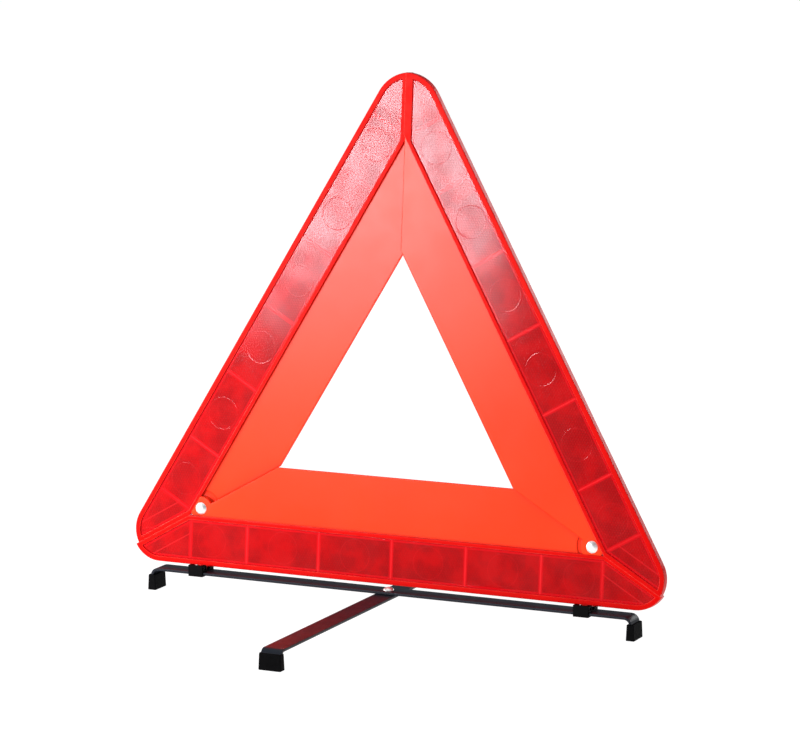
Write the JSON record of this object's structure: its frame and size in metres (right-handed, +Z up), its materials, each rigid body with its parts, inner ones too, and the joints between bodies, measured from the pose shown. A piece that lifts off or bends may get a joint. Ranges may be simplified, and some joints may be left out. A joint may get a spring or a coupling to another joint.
{
  "type": "warning triangle",
  "caption": "Folding roadside warning triangle: three hinged arms with red reflector lenses and fluorescent orange panels, on a crossed black strip stand with rubber feet.",
  "frame": {"origin": "on the floor, under the rivet on which the cross leg turns, which is the middle of the four feet", "axes": "+X along the base bar towards the right clip, -Y towards the reflecting front, +Z up"},
  "size_m": [0.4356, 0.3864, 0.3974],
  "materials": {
    "rim_red": "glossy moulded red plastic",
    "cover_red": "satin moulded red plastic",
    "lens_red": "clear red acrylic reflector lens, polished front",
    "fluorescent": "satin fluorescent orange-red plastic",
    "black_strip": "gloss black paint on steel strip",
    "black_plastic": "satin black nylon",
    "rubber": "matt black rubber",
    "zinc": "bright zinc-plated steel",
    "nylon": "natural white nylon"
  },
  "bodies": {
    "stand": {"base_bar": "black_strip", "left_clip": "black_plastic", "right_clip": "black_plastic", "left_hinge_pin": "zinc", "right_hinge_pin": "zinc", "left_bar_foot": "rubber", "right_bar_foot": "rubber", "centre_rivet": "zinc", "centre_washer": "zinc"},
    "leg": {"cross_leg": "black_strip", "front_leg_foot": "rubber", "rear_leg_foot": "rubber"},
    "bottom_arm": {"bottom_frame": "rim_red", "bottom_lens": "lens_red", "bottom_back_cover": "cover_red", "bottom_panel": "fluorescent", "left_pivot_rivet": "zinc", "right_pivot_rivet": "zinc", "left_pivot_washer": "zinc", "right_pivot_washer": "zinc", "left_pivot_spacer": "nylon", "right_pivot_spacer": "nylon"},
    "left_arm": {"left_frame": "rim_red", "left_lens": "lens_red", "left_back_cover": "cover_red", "left_panel": "fluorescent", "apex_catch": "rim_red"},
    "right_arm": {"right_frame": "rim_red", "right_lens": "lens_red", "right_back_cover": "cover_red", "right_panel": "fluorescent", "apex_stud": "zinc"}
  },
  "joints": [
    {"name": "leg_swing", "type": "hinge", "parent": "stand", "child": "leg", "pos_m": [0, 0, 0.0159], "axis": [0, 0, 1], "range_deg": [-83, 83]},
    {"name": "triangle_fold", "type": "hinge", "parent": "stand", "child": "bottom_arm", "pos_m": [0, -0.0045, 0.0196], "axis": [1, 0, 0], "range_deg": [0, 95]},
    {"name": "left_arm_fold", "type": "hinge", "parent": "bottom_arm", "child": "left_arm", "pos_m": [-0.16052, 0.01099, 0.06284], "axis": [0, 0.9962, -0.0872], "range_deg": [0, 60]},
    {"name": "right_arm_fold", "type": "hinge", "parent": "bottom_arm", "child": "right_arm", "pos_m": [0.16052, 0.00651, 0.06323], "axis": [0, 0.9962, -0.0872], "range_deg": [-60, 0]}
  ]
}
